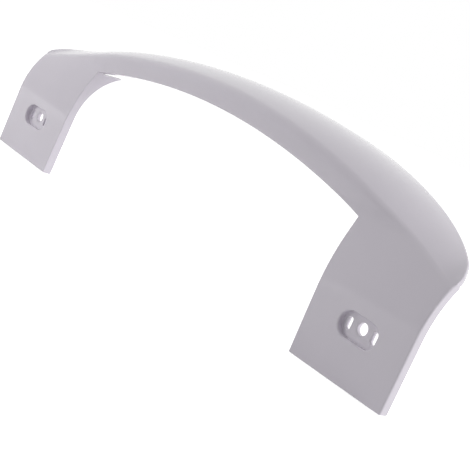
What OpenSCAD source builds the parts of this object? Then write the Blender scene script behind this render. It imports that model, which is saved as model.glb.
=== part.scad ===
// Bow handle for a refrigerator door, one thin-walled plastic moulding.
// The origin is midway between the two screw holes, on the door side of the plates.
// X runs along the handle, +Y points into the door and +Z up towards the grip.
// Below, sizes and heights are counted from the feet's lower edges and depths from
// the plates' visible faces; handle() moves the finished shape to its origin.

/* [Overall] */
// Length over both feet
handle_length = 312; // [298:1:332]
// Width of each foot along the handle
foot_width = 52.6; // [46:0.1:58]
// Lean of the foot's inner edge towards the middle, in degrees
inner_lean = 2; // [0:0.5:4]
// Rise of the foot's lower edge from its inner to its outer corner
heel_rise = 0.6; // [0:0.1:3]

/* [Walls] */
// Thickness of the screwed plates
plate_wall = 4.8; // [4:0.1:5.6]
// Thickness of the grip's front and top walls
grip_wall = 3; // [2.2:0.1:3.6]
// Thickness of each plate's front skin where its back is hollowed out
skin_wall = 2.4; // [1.8:0.1:3]
// Thickness of the rim around that hollow and of the wall around the screw pocket
rim_wall = 2.4; // [1.6:0.1:3]
// Thickness of the web that closes each foot towards the finger gap
web_wall = 3.5; // [2.4:0.1:5]

/* [Foot curve] */
// Height at which the plate starts to curve over, at its inner edge
inner_bend_start = 27.5; // [20:0.5:32]
// Radius of that curve at the inner edge
inner_bend_radius = 86; // [70:1:110]
// Height at which the plate starts to curve over, at its outer edge
outer_bend_start = 32; // [24:0.5:36]
// Radius of that curve at the outer edge
outer_bend_radius = 42; // [38:1:60]
// Depth at which the grip's front wall stands upright
front_set_back = 7.2; // [5:0.1:9]

/* [Grip] */
// Height of the crest line, where front and top walls meet, at mid length
crest_mid = 82.6; // [79:0.2:88]
// Height of the crest line at the handle's ends
crest_end = 54; // [50:0.5:58]
// Height of the front wall's lower edge at mid length
grip_edge_mid = 73.2; // [68:0.2:75]
// Height of the front wall's lower edge where it meets a foot
grip_edge_foot = 60; // [57:0.5:62]
// Rise of the top wall from its crest to its rear brim, at mid length and at the ends
brim_rise = 7.2; // [4:0.1:9]
// Further rise of the brim between mid length and the ends
brim_swell = 1.8; // [0:0.1:2.5]
// Depth of the rear brim at mid length
brim_mid = 53; // [40:1:60]
// Depth that the rear brim's arc reaches at the handle's ends
brim_end = 24; // [20:0.5:27]
// Further turn of the brim towards the front, close to the handle's ends
brim_turn = 13; // [10:0.5:14]
// Bulge of the top wall between crest and brim, at mid length
crown = 3.8; // [0:0.1:5]

/* [Screw pocket] */
// Distance of the screw hole from the foot's outer end
screw_inset = 26; // [22:0.5:28]
// Height of the screw hole
screw_height = 23.8; // [20:0.2:26]
// Diameter of the screw hole
screw_diameter = 5.2; // [4:0.1:6]
// Diameter of the shallow cone around it
dish_diameter = 8; // [6.8:0.2:9]
// Depth of that cone below the pocket's floor
dish_depth = 0.4; // [0.1:0.1:0.8]
// Length of the oblong pocket around the hole
pocket_length = 20.6; // [19.6:0.2:26]
// Width of the pocket
pocket_width = 10.8; // [10:0.2:13]
// Depth of the pocket
pocket_depth = 2.5; // [1.6:0.1:3.4]
// Distance of the pocket's middle line below the screw hole
pocket_drop = 0.7; // [0:0.1:1.6]
// Distance of each side slot from the screw hole
slot_offset = 7; // [6.8:0.1:8]
// Length of a side slot
slot_length = 5.6; // [4:0.2:8]
// Width of a side slot
slot_width = 2.8; // [2:0.1:3.6]

/* [Door edge] */
// Radius of the rounded door edge that the foot's web sits on
door_edge_radius = 31; // [29:1:38]
// Height at which the door's side starts to round over
door_edge_start = 33; // [31:0.2:36]
// Height of the web's top edge
web_top = 61.2; // [58:0.2:62.4]

/* [Hidden] */

half_length = handle_length / 2;
inner_edge = half_length - foot_width;
crest_radius = arc_radius(half_length, crest_mid - crest_end);
brim_radius = arc_radius(half_length, brim_mid - brim_end);
edge_radius = arc_radius(inner_edge, grip_edge_mid - grip_edge_foot);
screw_x = half_length - screw_inset;
pocket_height = screw_height - pocket_drop;

front_flare = 0.1;
front_blend = 1.4;
crest_round_mid = 5.5;
crest_round_end = 0.9;
end_round = 0.8;
tip_zone = 8;
tip_fall = 0.55;
end_wall_power = 16;
margin = 1;

bay_count = 26;
bend_points = 9;
round_points = 3;
top_points = 7;
brim_points = 4;
web_points = 5;

// Radius of the arc that falls by drop at the distance reach from its apex
function arc_radius(reach, drop) = (reach * reach + drop * drop) / (2 * drop);

// Fall of an arc at the distance x from its apex
function arc_fall(radius, x) = radius - sqrt(radius * radius - x * x);

function mix(a, b, t) = a + (b - a) * t;

// Smooth lower one of two values, blended over the width k
function smooth_min(a, b, k) =
    let (t = min(max(0.5 + 0.5 * (b - a) / k, 0), 1))
    mix(b, a, t) - k * t * (1 - t);

// Share of the way from the foot's inner edge to the handle's end
function foot_share(s) = min(max((s - inner_edge) / foot_width, 0), 1);

function bend_start(s) = mix(inner_bend_start, outer_bend_start, foot_share(s));
function bend_radius(s) = mix(inner_bend_radius, outer_bend_radius, foot_share(s));

// Depth of the outer front face at the distance s from mid length and the height z
function front_y(s, z) =
    let (
        start = bend_start(s),
        radius = bend_radius(s),
        bend = z <= start ? 0 : arc_fall(radius, min(z - start, radius)),
        upright = front_set_back + front_flare * max(s - inner_edge, 0)
    )
    smooth_min(bend, upright, front_blend);

// Thickness of the grip's front wall, which grows to the plate's at the handle's ends
function front_wall(s) = mix(grip_wall, plate_wall, pow(s / half_length, end_wall_power));

function foot_bottom(s) = heel_rise * max(s - inner_edge, 0) / foot_width;
function crest_z(s) = crest_mid - arc_fall(crest_radius, s);

// Shrinks the brim close to the handle's ends, which rounds the tips
function tip_share(s) =
    let (t = min(max((s - half_length + tip_zone) / tip_zone, 0), 1))
    1 - tip_fall * (1 - sqrt(1 - t * t));

function crest_point(s) = [front_y(s, crest_z(s)), crest_z(s)];

function brim_point(s) =
    let (
        crest = crest_point(s),
        way = s / half_length,
        depth = brim_mid - arc_fall(brim_radius, s) - brim_turn * pow(way, 10) - crest.x,
        rise = brim_rise + brim_swell * 4 * way * way * (1 - way * way)
    )
    crest + tip_share(s) * [depth, rise];

// Point of the top wall's outer face, from the crest at t = 0 to the brim at t = 1
function top_point(s, t) =
    let (
        crest = crest_point(s),
        chord = brim_point(s) - crest,
        bulge = crown * norm(chord) / (brim_mid - front_set_back)
    )
    crest + chord * t + [-chord.y, chord.x] / norm(chord) * bulge * 4 * t * (1 - t);

function bezier(a, b, c, t) = a * (1 - t) * (1 - t) + b * 2 * t * (1 - t) + c * t * t;

// Outer face of one cross-section as [y, z] points, from the lower edge to the brim
function outer_face(s, inset) =
    let (
        crest = crest_point(s),
        chord = norm(brim_point(s) - crest),
        round_size = mix(crest_round_mid, crest_round_end, pow(s / half_length, 2)),
        bottom = foot_bottom(s) + inset,
        start = bend_start(s),
        stop = crest.y - round_size,
        share = round_size / chord,
        low = [front_y(s, stop), stop],
        high = top_point(s, share)
    )
    [
        [inset, bottom],
        for (i = [0 : bend_points]) let (z = mix(start, stop, i / bend_points)) [front_y(s, z) + inset, z],
        for (i = [1 : round_points]) bezier(low, crest, high, i / (round_points + 1)) + [inset, -inset],
        for (i = [0 : top_points]) top_point(s, mix(share, 1, i / top_points)) + [inset, -inset] * (1 - i / top_points)
    ];

// Inner face of one cross-section, from the brim back down to the lower edge
function inner_face(s, inset) =
    let (
        crest = crest_point(s),
        chord = brim_point(s) - crest,
        across = [chord.y, -chord.x] / norm(chord),
        wall = grip_wall - inset,
        brim = brim_point(s) + across * wall,
        corner_y = crest.x + front_wall(s) - inset,
        corner = [corner_y, crest.y + (corner_y - crest.x) * chord.y / chord.x - wall * norm(chord) / chord.x],
        start = bend_start(s),
        bottom = foot_bottom(s) + inset
    )
    [
        for (i = [0 : top_points])
            let (t = i / top_points, shape = 4 * t * (1 - t) * crown * norm(chord) / (brim_mid - front_set_back))
            mix(brim, corner, t) - across * shape,
        for (i = [1 : bend_points])
            let (z = mix(corner.y, start, i / bend_points), share = (z - start) / (corner.y - start))
            [front_y(s, z) + mix(plate_wall, front_wall(s), share) - inset, z],
        [plate_wall - inset, bottom]
    ];

// Rounded edge of the brim, between the outer and the inner face
function brim_edge(s, inset) =
    let (
        chord = brim_point(s) - crest_point(s),
        along = chord / norm(chord),
        across = [chord.y, -chord.x] / norm(chord),
        half_wall = grip_wall / 2,
        middle = brim_point(s) + across * (half_wall - inset / 2)
    )
    [
        for (i = [1 : brim_points - 1]) let (turn = 180 * i / brim_points)
            middle + (along * sin(turn) - across * cos(turn)) * (half_wall - inset / 2)
    ];

function section(s, inset) = concat(outer_face(s, inset), brim_edge(s, inset), inner_face(s, inset));

// Places along the handle where a cross-section is taken, as [x, inset] pairs
function stations() = [
    [-half_length, end_round],
    for (i = [-bay_count : bay_count]) [i / bay_count * (half_length - end_round), 0],
    [half_length, end_round]
];

// Thin shell of the whole handle, with its front wall still closed between the feet
module shell() {
    places = stations();
    rings = [for (place = places) [for (point = section(abs(place.x), place.y)) [place.x, point.x, point.y]]];
    count = len(rings[0]);
    last = len(rings) - 1;
    points = [for (ring = rings) each ring];
    sides = [
        for (i = [0 : last - 1], k = [0 : count - 1])
            let (a = i * count + k, b = i * count + (k + 1) % count)
            each [[a, b, a + count], [b, b + count, a + count]]
    ];
    ends = [[for (k = [count - 1 : -1 : 0]) k], [for (k = [0 : count - 1]) last * count + k]];
    polyhedron(points = points, faces = concat(sides, ends), convexity = 8);
}

// Room for the fingers: everything between the feet and below the grip's lower edge
module finger_gap() {
    lean_out = tan(inner_lean) * grip_edge_mid;
    depth = brim_mid + 2 * margin;
    translate([0, depth - margin, 0])
        rotate([90, 0, 0])
            linear_extrude(height = depth)
                intersection() {
                    translate([0, grip_edge_mid - edge_radius])
                        circle(r = edge_radius, $fn = 720);
                    polygon([
                        [-inner_edge - tan(inner_lean) * margin, -margin],
                        [inner_edge + tan(inner_lean) * margin, -margin],
                        [inner_edge - lean_out, grip_edge_mid],
                        [-inner_edge + lean_out, grip_edge_mid]
                    ]);
                }
}

// Web that closes the foot towards the finger gap and sits on the rounded door edge
module web() {
    far_y = plate_wall + door_edge_radius;
    front_z = [for (i = [0 : web_points]) mix(bend_start(inner_edge), web_top, i / web_points)];
    translate([inner_edge, 0, 0])
        rotate([0, -inner_lean, 0])
            rotate([90, 0, 90])
                linear_extrude(height = web_wall)
                    difference() {
                        polygon([
                            [plate_wall / 2, front_z[0]],
                            for (z = front_z) [front_y(inner_edge, z) + grip_wall / 2, z],
                            [far_y, web_top],
                            [far_y, front_z[0]]
                        ]);
                        translate([far_y, door_edge_start])
                            circle(r = door_edge_radius, $fn = 180);
                        translate([plate_wall, front_z[0] - margin])
                            square([2 * door_edge_radius, door_edge_start - front_z[0] + margin]);
                    }
}

// Hollow in the back of a plate, around the wall of its screw pocket
module plate_core() {
    depth = plate_wall - skin_wall + margin;
    low = heel_rise + rim_wall;
    high = inner_bend_start - margin;
    translate([0, skin_wall + depth, 0])
        rotate([90, 0, 0])
            linear_extrude(height = depth)
                difference() {
                    polygon([
                        [inner_edge - tan(inner_lean) * low + rim_wall, low],
                        [half_length - rim_wall, low],
                        [half_length - rim_wall, high],
                        [inner_edge - tan(inner_lean) * high + rim_wall, high]
                    ]);
                    translate([screw_x, pocket_height])
                        oblong(pocket_length + 2 * rim_wall, pocket_width + 2 * rim_wall);
                }
}

// Oblong pocket with the screw hole and its two side slots, cut through the plate
module screw_pocket() {
    through = plate_wall + margin;
    translate([screw_x, 0, screw_height])
        rotate([-90, 0, 0]) {
            cylinder(d = screw_diameter, h = through, $fn = 64);
            translate([0, 0, pocket_depth])
                cylinder(d1 = dish_diameter, d2 = screw_diameter, h = dish_depth, $fn = 64);
            translate([0, pocket_drop, 0]) {
                translate([0, 0, -margin])
                    linear_extrude(height = pocket_depth + margin)
                        oblong(pocket_length, pocket_width);
                for (side = [-1, 1])
                    translate([side * slot_offset, 0, 0])
                        rotate([0, 0, 90])
                            linear_extrude(height = through)
                                oblong(slot_length, slot_width);
            }
        }
}

// Flat shape with two straight sides and round ends
module oblong(length, width) {
    square([length - width, width], center = true);
    for (side = [-1, 1])
        translate([side * (length - width) / 2, 0])
            circle(d = width, $fn = 64);
}

module both_feet() {
    children();
    mirror([1, 0, 0])
        children();
}

module handle() {
    color([0.86, 0.85, 0.89])
        translate([0, -plate_wall, -screw_height])
            difference() {
                union() {
                    difference() {
                        shell();
                        finger_gap();
                    }
                    both_feet()
                        web();
                }
                both_feet() {
                    plate_core();
                    screw_pocket();
                }
            }
}

handle();
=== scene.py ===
"""Fridge door handle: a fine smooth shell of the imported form, glossy white plastic, soft studio light."""
import math
import bpy
import bmesh
from mathutils import Matrix, Vector


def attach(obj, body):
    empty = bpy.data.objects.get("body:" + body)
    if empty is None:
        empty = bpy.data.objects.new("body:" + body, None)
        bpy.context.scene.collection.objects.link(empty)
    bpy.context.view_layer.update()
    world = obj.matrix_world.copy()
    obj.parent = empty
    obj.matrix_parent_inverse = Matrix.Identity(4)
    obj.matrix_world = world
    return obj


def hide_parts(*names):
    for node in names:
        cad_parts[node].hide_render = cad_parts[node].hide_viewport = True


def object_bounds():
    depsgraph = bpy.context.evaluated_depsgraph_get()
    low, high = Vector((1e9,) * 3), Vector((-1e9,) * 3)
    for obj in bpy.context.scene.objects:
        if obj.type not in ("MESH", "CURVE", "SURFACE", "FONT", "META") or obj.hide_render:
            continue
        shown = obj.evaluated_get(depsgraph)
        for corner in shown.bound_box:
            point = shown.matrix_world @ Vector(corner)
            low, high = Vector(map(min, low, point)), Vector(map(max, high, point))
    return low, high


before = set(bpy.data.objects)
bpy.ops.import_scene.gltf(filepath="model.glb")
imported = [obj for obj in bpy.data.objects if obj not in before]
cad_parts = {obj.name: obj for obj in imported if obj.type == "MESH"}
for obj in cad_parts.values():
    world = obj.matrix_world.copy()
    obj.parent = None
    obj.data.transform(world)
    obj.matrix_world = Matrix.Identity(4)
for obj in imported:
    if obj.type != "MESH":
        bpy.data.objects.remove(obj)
cad_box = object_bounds()

MM = 0.001

# The form's sizes in millimetres, counted from the feet's lower edges and the plates' visible faces
HANDLE_LENGTH = 312.0
FOOT_WIDTH = 52.6
INNER_LEAN = math.radians(2.0)
HEEL_RISE = 0.6
PLATE_WALL = 4.8
GRIP_WALL = 3.0
SKIN_WALL = 2.4
RIM_WALL = 2.4
WEB_WALL = 3.5
INNER_BEND_START = 27.5
INNER_BEND_RADIUS = 86.0
OUTER_BEND_START = 32.0
OUTER_BEND_RADIUS = 42.0
FRONT_SET_BACK = 7.2
CREST_MID = 82.6
CREST_END = 54.0
GRIP_EDGE_MID = 73.2
GRIP_EDGE_FOOT = 60.0
BRIM_RISE = 7.2
BRIM_SWELL = 1.8
BRIM_MID = 53.0
BRIM_END = 24.0
BRIM_TURN = 13.0
BRIM_TURN_POWER = 10
CROWN = 3.8
SCREW_INSET = 26.0
SCREW_HEIGHT = 23.8
SCREW_DIAMETER = 5.2
DISH_DIAMETER = 8.0
DISH_DEPTH = 0.4
POCKET_LENGTH = 20.6
POCKET_WIDTH = 10.8
POCKET_DEPTH = 2.5
POCKET_DROP = 0.7
SLOT_OFFSET = 7.0
SLOT_LENGTH = 5.6
SLOT_WIDTH = 2.8
DOOR_EDGE_RADIUS = 31.0
DOOR_EDGE_START = 33.0
WEB_TOP = 61.2
FRONT_FLARE = 0.1
FRONT_BLEND = 1.4
CREST_ROUND_MID = 5.5
CREST_ROUND_END = 0.9
END_ROUND = 0.8
TIP_ZONE = 8.0
TIP_FALL = 0.55
END_WALL_POWER = 16
MARGIN = 1.0

# Finer forms that only the visual shell has
HEEL_ROUND = 0.5
RIM_ROUND = 0.7
RIM_SHARE = 0.6
CORNER_REACH = 5.0
CREST_ROUND_POWER = 1.2
CROWN_FADE = 0.8
BRIM_EASE = 1.0
EASE_POWER = 4
WEB_DIP = 1.4

# Fineness of the mesh
BAYS = 118
CLEAR_INSIDE = 4.0
CLEAR_OUTSIDE = 2.0
EDGE_STRIP = 1.2
LOW_POINTS = 20
HIGH_POINTS = 7
BACK_POINTS = 28
PLATE_POINTS = 4
ROUND_POINTS = 8
TOP_POINTS = 24
BRIM_POINTS = 10
WEB_FRONT_POINTS = 24
WEB_BACK_POINTS = 48
ARC_POINTS = 32
HOLE_POINTS = 72
QUARTER = [math.radians(22.5 * i) for i in range(5)]
LEVEL_GAP = 0.00001
WELD_GAP = 0.004
SHORT_EDGE = 0.12
SLIVER = 0.02
FACE_GAP = 0.05
HARD_ANGLE = math.radians(40)


def arc_radius(reach, drop):
    return (reach * reach + drop * drop) / (2 * drop)


def arc_fall(radius, x):
    return radius - math.sqrt(radius * radius - x * x)


def mix(a, b, t):
    return a + (b - a) * t


def clamp(t):
    return min(max(t, 0.0), 1.0)


HALF = HANDLE_LENGTH / 2
INNER_EDGE = HALF - FOOT_WIDTH
CREST_RADIUS = arc_radius(HALF, CREST_MID - CREST_END)
BRIM_RADIUS = arc_radius(HALF, BRIM_MID - BRIM_END)
EDGE_RADIUS = arc_radius(INNER_EDGE, GRIP_EDGE_MID - GRIP_EDGE_FOOT)
SCREW_X = HALF - SCREW_INSET
POCKET_HEIGHT = SCREW_HEIGHT - POCKET_DROP


def smooth_min(a, b, k):
    t = clamp(0.5 + 0.5 * (b - a) / k)
    return mix(b, a, t) - k * t * (1 - t)


def foot_share(s):
    return clamp((s - INNER_EDGE) / FOOT_WIDTH)


def bend_start(s):
    return mix(INNER_BEND_START, OUTER_BEND_START, foot_share(s))


def bend_radius(s):
    return mix(INNER_BEND_RADIUS, OUTER_BEND_RADIUS, foot_share(s))


def front_y(s, z):
    """Depth of the outer front face at the distance s from mid length and the height z."""
    start, radius = bend_start(s), bend_radius(s)
    bend = 0.0 if z <= start else arc_fall(radius, min(z - start, radius))
    upright = FRONT_SET_BACK + FRONT_FLARE * max(s - INNER_EDGE, 0.0)
    return smooth_min(bend, upright, FRONT_BLEND)


def front_wall(s):
    return mix(GRIP_WALL, PLATE_WALL, (s / HALF) ** END_WALL_POWER)


def foot_bottom(s):
    return HEEL_RISE * foot_share(s)


def edge_z(s):
    """Height of the finger gap's arched upper edge, also where the feet still close it."""
    return GRIP_EDGE_MID - arc_fall(EDGE_RADIUS, s)


def front_heights(s, stop):
    """Heights of the points up the front face, with a strip of even width along the arched edge."""
    below, above = edge_z(s) - EDGE_STRIP, edge_z(s) + EDGE_STRIP
    low = [mix(bend_start(s), below, i / LOW_POINTS) for i in range(LOW_POINTS + 1)]
    return low + [mix(above, stop, i / HIGH_POINTS) for i in range(HIGH_POINTS + 1)]


def crest_point(s):
    z = CREST_MID - arc_fall(CREST_RADIUS, s)
    return Vector((front_y(s, z), z))


def crest_round(s):
    return mix(CREST_ROUND_MID, CREST_ROUND_END, (s / HALF) ** CREST_ROUND_POWER)


def brim_point(s):
    crest = crest_point(s)
    way = s / HALF
    t = clamp((s - HALF + TIP_ZONE) / TIP_ZONE)
    share = 1 - TIP_FALL * (1 - math.sqrt(1 - t * t))
    depth = BRIM_MID - arc_fall(BRIM_RADIUS, s) - BRIM_TURN * way ** BRIM_TURN_POWER - crest.x
    rise = BRIM_RISE - BRIM_EASE * way ** EASE_POWER + BRIM_SWELL * 4 * way * way * (1 - way * way)
    return crest + share * Vector((depth, rise))


def section(s, inset):
    """Outline of one cross-section as (y, z) points: front face, crest, top, brim, and back inside."""
    crest = crest_point(s)
    chord = brim_point(s) - crest
    length = chord.length
    along = chord / length
    rise = Vector((-along.y, along.x))
    crown = CROWN * (1 - CROWN_FADE * (s / HALF) ** EASE_POWER)
    bulge = crown * length / (BRIM_MID - FRONT_SET_BACK)
    bottom, start, stop = foot_bottom(s) + inset, bend_start(s), crest.y - crest_round(s)
    share = crest_round(s) / length

    def top(t):
        return crest + chord * t + rise * bulge * 4 * t * (1 - t)

    heel = [(HEEL_ROUND * (1 - math.sin(turn)), HEEL_ROUND * (1 - math.cos(turn))) for turn in QUARTER]
    points = [Vector((inset + p, bottom + q)) for p, q in heel]
    plate = [mix(bottom + HEEL_ROUND, start, i / PLATE_POINTS) for i in range(PLATE_POINTS)]
    points += [Vector((inset, z)) for z in plate[1:]]
    points += [Vector((front_y(s, z) + inset, z)) for z in front_heights(s, stop)]

    low, high = Vector((front_y(s, stop), stop)), top(share)
    for i in range(1, ROUND_POINTS + 1):
        t = i / (ROUND_POINTS + 1)
        point = low * (1 - t) ** 2 + crest * 2 * t * (1 - t) + high * t * t
        points.append(point + Vector((inset, -inset)))
    for i in range(TOP_POINTS + 1):
        t = i / TOP_POINTS
        points.append(top(mix(share, 1, t)) + Vector((inset, -inset)) * (1 - t))

    bead = (GRIP_WALL - inset) / 2
    middle = brim_point(s) - rise * bead
    for i in range(1, BRIM_POINTS):
        turn = math.pi * i / BRIM_POINTS
        points.append(middle + (along * math.sin(turn) + rise * math.cos(turn)) * bead)

    wall = GRIP_WALL - inset
    brim = brim_point(s) - rise * wall
    corner_y = crest.x + front_wall(s) - inset
    corner = Vector((corner_y, crest.y + ((corner_y - crest.x) * chord.y - wall * length) / chord.x))
    for i in range(TOP_POINTS + 1):
        t = i / TOP_POINTS
        points.append(brim.lerp(corner, t) + rise * bulge * 4 * t * (1 - t))
    for i in range(1, BACK_POINTS + 1):
        z = mix(corner.y, start, i / BACK_POINTS)
        depth = mix(PLATE_WALL, front_wall(s), (z - start) / (corner.y - start))
        points.append(Vector((front_y(s, z) + depth - inset, z)))
    back = PLATE_WALL - inset
    points += [Vector((back, z)) for z in reversed(plate)]
    return points + [Vector((back - p, bottom + q)) for p, q in reversed(heel[:-1])]


def new_object(name, bm):
    bmesh.ops.recalc_face_normals(bm, faces=bm.faces)
    mesh = bpy.data.meshes.new(name)
    bm.to_mesh(mesh)
    bm.free()
    obj = bpy.data.objects.new(name, mesh)
    bpy.context.scene.collection.objects.link(obj)
    return obj


def skin(bm, rings):
    """Faces from each ring of points to the next, with both ends closed."""
    verts = [[bm.verts.new(point) for point in ring] for ring in rings]
    count = len(verts[0])
    for a, b in zip(verts, verts[1:]):
        for k in range(count):
            bm.faces.new((a[k], a[(k + 1) % count], b[(k + 1) % count], b[k]))
    bm.faces.new(reversed(verts[0]))
    bm.faces.new(verts[-1])


def solid(name, rings):
    bm = bmesh.new()
    skin(bm, rings)
    return new_object(name, bm)


def stations():
    """Distances from mid length with each section's inset, none of them across a foot's leaning edge."""
    flat = HALF - END_ROUND
    places = [i / BAYS * flat for i in range(BAYS + 1)]
    half = [(s, 0.0) for s in places if not INNER_EDGE - CLEAR_INSIDE < s < INNER_EDGE + CLEAR_OUTSIDE]
    for turn in QUARTER[1:]:
        half.append((flat + END_ROUND * math.sin(turn), END_ROUND * (1 - math.cos(turn))))
    return [(-s, inset) for s, inset in reversed(half[1:])] + half


def loft():
    """Shell of the whole handle, its front wall still closed between the feet."""
    bm = bmesh.new()
    skin(bm, [[(x, p.x, p.y) for p in section(abs(x), inset)] for x, inset in stations()])
    for level in (0.0, PLATE_WALL):
        flats = [f for f in bm.faces if all(abs(v.co.y - level) < LEVEL_GAP for v in f.verts)]
        chosen = set(flats)
        edges = {e for f in flats for e in f.edges}
        seams = [e for e in edges if all(f in chosen for f in e.link_faces)]
        bmesh.ops.dissolve_edges(bm, edges=seams, use_verts=True)
    return new_object("shell", bm)


def prism(name, outline, low, high):
    """Outline of (x, z) points, swept along Y from low to high."""
    return solid(name, [[(x, y, z) for x, z in outline] for y in (low, high)])


def circle(x, z, radius):
    turns = [2 * math.pi * i / HOLE_POINTS for i in range(HOLE_POINTS)]
    return [(x + radius * math.cos(turn), z + radius * math.sin(turn)) for turn in turns]


def oblong(x, z, length, width, upright=False):
    """Straight sides and round ends, lying along X or standing along Z."""
    reach, radius = (length - width) / 2, width / 2
    points = []
    for side in (1, -1):
        for i in range(ARC_POINTS + 1):
            turn = math.pi * (i / ARC_POINTS - 0.5) + (0 if side > 0 else math.pi)
            points.append((side * reach + radius * math.cos(turn), radius * math.sin(turn)))
    return [(x - q, z + p) if upright else (x + p, z + q) for p, q in points]


def finger_gap():
    """Everything between the feet and below the grip's lower edge."""
    slope = math.tan(INNER_LEAN)
    reach = INNER_EDGE - slope * GRIP_EDGE_FOOT
    for _ in range(4):
        reach = INNER_EDGE - slope * edge_z(reach)
    bay = (HALF - END_ROUND) / BAYS
    inside = int((INNER_EDGE - CLEAR_INSIDE - MARGIN) / bay)
    places = [(i + 0.5) * bay for i in range(inside - 1, -inside - 1, -1)]
    arch = [(x, edge_z(x)) for x in [reach] + places + [-reach]]
    foot = INNER_EDGE + slope * MARGIN
    return prism("gap", [(-foot, -MARGIN), (foot, -MARGIN)] + arch, -MARGIN, BRIM_MID + 2 * MARGIN)


def web(side):
    """Web at the foot's inner edge, cut to the rounded door edge."""
    far = PLATE_WALL + DOOR_EDGE_RADIUS
    steps = range(WEB_FRONT_POINTS + 1)
    front = [mix(INNER_BEND_START, WEB_TOP - WEB_DIP, i / WEB_FRONT_POINTS) for i in steps]
    rise = WEB_TOP - DOOR_EDGE_START
    first = math.atan2(rise, -math.sqrt(DOOR_EDGE_RADIUS ** 2 - rise ** 2))
    turns = [mix(first, math.pi, i / WEB_BACK_POINTS) for i in range(WEB_BACK_POINTS + 1)]
    outline = [(PLATE_WALL / 2, front[0])]
    outline += [(front_y(INNER_EDGE, z) + GRIP_WALL / 2, z) for z in front]
    outline += [(far + DOOR_EDGE_RADIUS * math.cos(turn), DOOR_EDGE_START + DOOR_EDGE_RADIUS * math.sin(turn))
                for turn in turns]
    outline.append((PLATE_WALL, front[0]))
    place = Matrix.Scale(side, 4, (1, 0, 0)) @ Matrix.Translation((INNER_EDGE, 0, 0))
    place = place @ Matrix.Rotation(-INNER_LEAN, 4, "Y")
    return solid("web", [[place @ Vector((x, y, z)) for y, z in outline] for x in (0.0, WEB_WALL)])


def screw_hole(side):
    """Hole through the plate with its shallow countersink."""
    levels = [(DISH_DIAMETER / 2, POCKET_DEPTH - 0.01), (DISH_DIAMETER / 2, POCKET_DEPTH),
              (SCREW_DIAMETER / 2, POCKET_DEPTH + DISH_DEPTH), (SCREW_DIAMETER / 2, PLATE_WALL + MARGIN)]
    return solid("dish", [[(x, y, z) for x, z in circle(side * SCREW_X, SCREW_HEIGHT, radius)]
                          for radius, y in levels])


def hollow_back(side):
    """Space behind the plate's skin, inside its rim and around the pocket's wall."""
    low, high = HEEL_RISE + RIM_WALL, INNER_BEND_START - MARGIN
    slope = math.tan(INNER_LEAN)
    reach = (POCKET_LENGTH - POCKET_WIDTH) / 2
    radius = POCKET_WIDTH / 2 + RIM_WALL
    first = math.asin((high - POCKET_HEIGHT) / radius)
    turns = [mix(first, -math.pi / 2, i / ARC_POINTS) for i in range(ARC_POINTS + 1)]
    right = [(SCREW_X + reach + radius * math.cos(turn), POCKET_HEIGHT + radius * math.sin(turn))
             for turn in turns]
    left = [(2 * SCREW_X - x, z) for x, z in reversed(right)]
    outline = [(INNER_EDGE - slope * low + RIM_WALL, low), (HALF - RIM_WALL, low), (HALF - RIM_WALL, high)]
    outline += right + left + [(INNER_EDGE - slope * high + RIM_WALL, high)]
    return prism("core", [(side * x, z) for x, z in outline], SKIN_WALL, PLATE_WALL + MARGIN)


def cutters(side):
    """Hollow back, pocket, screw hole and slots of one plate."""
    x = side * SCREW_X
    pocket = oblong(x, POCKET_HEIGHT, POCKET_LENGTH, POCKET_WIDTH)
    shapes = [hollow_back(side), prism("pocket", pocket, -MARGIN, POCKET_DEPTH), screw_hole(side)]
    for way in (-1, 1):
        slot = oblong(x + way * SLOT_OFFSET, POCKET_HEIGHT, SLOT_LENGTH, SLOT_WIDTH, True)
        shapes.append(prism("slot", slot, MARGIN, PLATE_WALL + MARGIN))
    return shapes


def combine(target, tool, operation):
    """Applies one exact boolean and throws the tool away."""
    modifier = target.modifiers.new("cut", "BOOLEAN")
    modifier.object = tool
    modifier.operation = operation
    modifier.solver = "EXACT"
    graph = bpy.context.evaluated_depsgraph_get()
    mesh = bpy.data.meshes.new_from_object(target.evaluated_get(graph))
    target.modifiers.clear()
    target.data = mesh
    bpy.data.objects.remove(tool)


def clean(mesh):
    """Joins the booleans' stray points and moves the mesh from the form's sizes into the shared frame."""
    bm = bmesh.new()
    bm.from_mesh(mesh)
    bmesh.ops.remove_doubles(bm, verts=bm.verts, dist=WELD_GAP)
    short = [e for e in bm.edges if e.calc_length() < SHORT_EDGE and len(e.link_faces) == 2]
    bmesh.ops.collapse(bm, edges=[e for e in short if e.calc_face_angle() > HARD_ANGLE])
    bmesh.ops.dissolve_degenerate(bm, edges=bm.edges, dist=SLIVER)
    bm.transform(Matrix.Scale(MM, 4) @ Matrix.Translation((0, -PLATE_WALL, -SCREW_HEIGHT)))
    bm.to_mesh(mesh)
    bm.free()
    mesh.shade_smooth()


def mark_soft_edges(mesh):
    """Bevel weights for the cut edges that are seen from the front, hard edges for the rest."""
    bm = bmesh.new()
    bm.from_mesh(mesh)
    layer = bm.edges.layers.float.new("bevel_weight_edge")
    for edge in bm.edges:
        if len(edge.link_faces) != 2 or edge.calc_face_angle() < HARD_ANGLE:
            continue
        middle = (edge.verts[0].co + edge.verts[1].co) / 2 / MM
        s, z, depth = abs(middle.x), middle.z + SCREW_HEIGHT, middle.y + PLATE_WALL
        outward = edge.calc_face_angle_signed() > 0
        if not outward or depth >= front_y(s, z) + FACE_GAP or s >= HALF - 3 * MARGIN:
            edge.smooth = False
            continue
        beside = abs(s - SCREW_X) < POCKET_LENGTH / 2 + 2 * FACE_GAP
        level = abs(z - POCKET_HEIGHT) < POCKET_WIDTH / 2 + 2 * FACE_GAP
        from_corner = math.hypot(s - INNER_EDGE + 2 * MARGIN, z - GRIP_EDGE_FOOT)
        edge[layer] = 1.0 if beside and level else RIM_SHARE * clamp(from_corner / CORNER_REACH)
    bm.to_mesh(mesh)
    bm.free()


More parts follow.
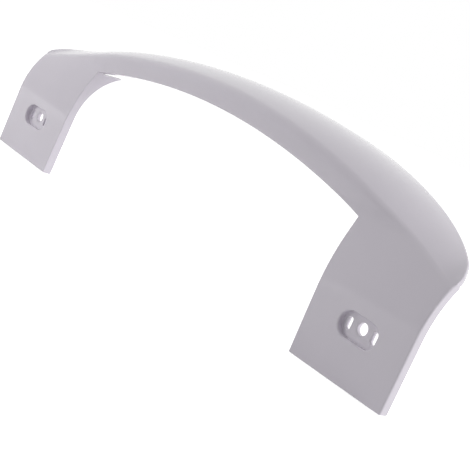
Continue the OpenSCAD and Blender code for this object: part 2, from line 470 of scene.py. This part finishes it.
def soften(obj):
    bevel = obj.modifiers.new("soft edges", "BEVEL")
    bevel.width = RIM_ROUND * MM
    bevel.segments = 4
    bevel.limit_method = "WEIGHT"
    bevel.use_clamp_overlap = False
    bevel.harden_normals = False
    normals = obj.modifiers.new("even shading", "WEIGHTED_NORMAL")
    normals.weight = 60
    normals.keep_sharp = True


def build_handle():
    """The whole moulding as one piece."""
    obj = loft()
    combine(obj, finger_gap(), "DIFFERENCE")
    for side in (-1, 1):
        combine(obj, web(side), "UNION")
    for side in (-1, 1):
        for shape in cutters(side):
            combine(obj, shape, "DIFFERENCE")
    obj.name = "handle_moulding"
    clean(obj.data)
    mark_soft_edges(obj.data)
    soften(obj)
    return obj


def noise(nodes, links, place, scale, detail, roughness=0.5):
    texture = nodes.new("ShaderNodeTexNoise")
    texture.inputs["Scale"].default_value = scale
    texture.inputs["Detail"].default_value = detail
    texture.inputs["Roughness"].default_value = roughness
    links.new(place.outputs["Object"], texture.inputs["Vector"])
    return texture


def gloss_plastic():
    """Glossy white moulded plastic with a faint lilac cast, fine surface ripple and light handling marks."""
    material = bpy.data.materials.new("gloss white plastic")
    material.use_nodes = True
    nodes, links = material.node_tree.nodes, material.node_tree.links
    shader = nodes["Principled BSDF"]
    shader.inputs["IOR"].default_value = 1.49
    shader.inputs["Coat Weight"].default_value = 0.5
    shader.inputs["Coat Roughness"].default_value = 0.08
    place = nodes.new("ShaderNodeTexCoord")

    cloud = noise(nodes, links, place, 14.0, 4.0)
    tint = nodes.new("ShaderNodeValToRGB")
    tint.color_ramp.elements[0].position = 0.3
    tint.color_ramp.elements[0].color = (0.695, 0.655, 0.728, 1)
    tint.color_ramp.elements[1].position = 0.7
    tint.color_ramp.elements[1].color = (0.730, 0.688, 0.762, 1)
    links.new(cloud.outputs["Fac"], tint.inputs["Fac"])
    links.new(tint.outputs["Color"], shader.inputs["Base Color"])

    marks = noise(nodes, links, place, 60.0, 6.0, 0.65)
    level = nodes.new("ShaderNodeMapRange")
    level.inputs["To Min"].default_value = 0.12
    level.inputs["To Max"].default_value = 0.20
    links.new(marks.outputs["Fac"], level.inputs["Value"])
    links.new(level.outputs["Result"], shader.inputs["Roughness"])

    ripple = noise(nodes, links, place, 420.0, 2.0)
    bump = nodes.new("ShaderNodeBump")
    bump.inputs["Strength"].default_value = 0.04
    bump.inputs["Distance"].default_value = 0.0002
    links.new(ripple.outputs["Fac"], bump.inputs["Height"])
    links.new(bump.outputs["Normal"], shader.inputs["Normal"])
    return material


def camera_or_glossy(nodes, links):
    """Output that is 1 for rays from the camera and for mirrored rays."""
    rays = nodes.new("ShaderNodeLightPath")
    seen = nodes.new("ShaderNodeMath")
    seen.operation = "MAXIMUM"
    links.new(rays.outputs["Is Camera Ray"], seen.inputs[0])
    links.new(rays.outputs["Is Glossy Ray"], seen.inputs[1])
    return seen.outputs[0]


def studio_floor():
    """White floor that keeps the handle's soft shadow."""
    bm = bmesh.new()
    bmesh.ops.create_grid(bm, x_segments=1, y_segments=1, size=6.0)
    floor = new_object("floor", bm)
    floor.location = (0, 0, cad_box[0].z - 0.0002)
    material = bpy.data.materials.new("pale floor")
    material.use_nodes = True
    nodes, links = material.node_tree.nodes, material.node_tree.links
    nodes.remove(nodes["Principled BSDF"])
    matt = nodes.new("ShaderNodeBsdfDiffuse")
    matt.inputs["Color"].default_value = (0.85, 0.85, 0.85, 1)
    glow = nodes.new("ShaderNodeEmission")
    glow.inputs["Color"].default_value = (1, 1, 1, 1)
    glow.inputs["Strength"].default_value = 1.0
    share = nodes.new("ShaderNodeMath")
    share.operation = "MULTIPLY"
    share.inputs[1].default_value = 0.84
    links.new(camera_or_glossy(nodes, links), share.inputs[0])
    dark = nodes.new("ShaderNodeMixShader")
    links.new(share.outputs[0], dark.inputs["Fac"])
    links.new(glow.outputs["Emission"], dark.inputs[2])
    both = nodes.new("ShaderNodeAddShader")
    links.new(matt.outputs["BSDF"], both.inputs[0])
    links.new(dark.outputs["Shader"], both.inputs[1])
    links.new(both.outputs["Shader"], nodes["Material Output"].inputs["Surface"])
    floor.data.materials.append(material)


def studio_world():
    """Soft even light, seen as white by the camera and in reflections."""
    world = bpy.data.worlds.new("studio")
    bpy.context.scene.world = world
    world.use_nodes = True
    nodes, links = world.node_tree.nodes, world.node_tree.links
    soft = nodes["Background"]
    soft.inputs["Color"].default_value = (1, 1, 1, 1)
    soft.inputs["Strength"].default_value = 0.2
    white = nodes.new("ShaderNodeBackground")
    white.inputs["Color"].default_value = (1, 1, 1, 1)
    white.inputs["Strength"].default_value = 1.0
    blend = nodes.new("ShaderNodeMixShader")
    links.new(camera_or_glossy(nodes, links), blend.inputs["Fac"])
    links.new(soft.outputs["Background"], blend.inputs[1])
    links.new(white.outputs["Background"], blend.inputs[2])
    links.new(blend.outputs["Shader"], nodes["World Output"].inputs["Surface"])


def area_light(name, spot, aim, size, power):
    data = bpy.data.lights.new(name, "AREA")
    data.shape = "DISK"
    data.size = size
    data.energy = power
    obj = bpy.data.objects.new(name, data)
    obj.location = spot
    obj.visible_glossy = False
    obj.rotation_mode = "QUATERNION"
    obj.rotation_quaternion = (Vector(aim) - Vector(spot)).to_track_quat("-Z", "Y")
    bpy.context.scene.collection.objects.link(obj)


def studio_camera():
    """Camera at the photograph's place, fitted to the handle's outline."""
    camera = bpy.data.objects.new("camera", bpy.data.cameras.new("camera"))
    bpy.context.scene.collection.objects.link(camera)
    right = Vector((0.59914, 0.68989, 0.40629))
    up = Vector((-0.38782, -0.19388, 0.90112))
    turn = Matrix((right, up, right.cross(up))).transposed().to_4x4()
    camera.matrix_world = Matrix.Translation((0.381894, -0.33661, 0.076494)) @ turn
    camera.data.lens = 84.255
    camera.data.sensor_width = 36.0
    camera.data.clip_start = 0.01
    bpy.context.scene.camera = camera


handle = build_handle()
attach(handle, "root")
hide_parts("handle")

plastic = gloss_plastic()
for obj in [handle, *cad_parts.values()]:
    obj.data.materials.clear()
    obj.data.materials.append(plastic)

studio_floor()
studio_world()
area_light("key behind", (0.65, 0.75, 0.75), (0, 0.02, 0.03), 0.7, 1.2)
area_light("key right", (5.5, 2.0, 1.2), (0, 0, 0.03), 2.0, 205.0)
area_light("fill left", (-0.5, -0.45, 0.12), (-0.1, 0, 0.02), 0.4, 1.25)
area_light("soft above", (-0.2, -0.3, 1.0), (0, 0, 0.02), 0.8, 2.9)
studio_camera()
bpy.context.scene.view_settings.view_transform = "Standard"
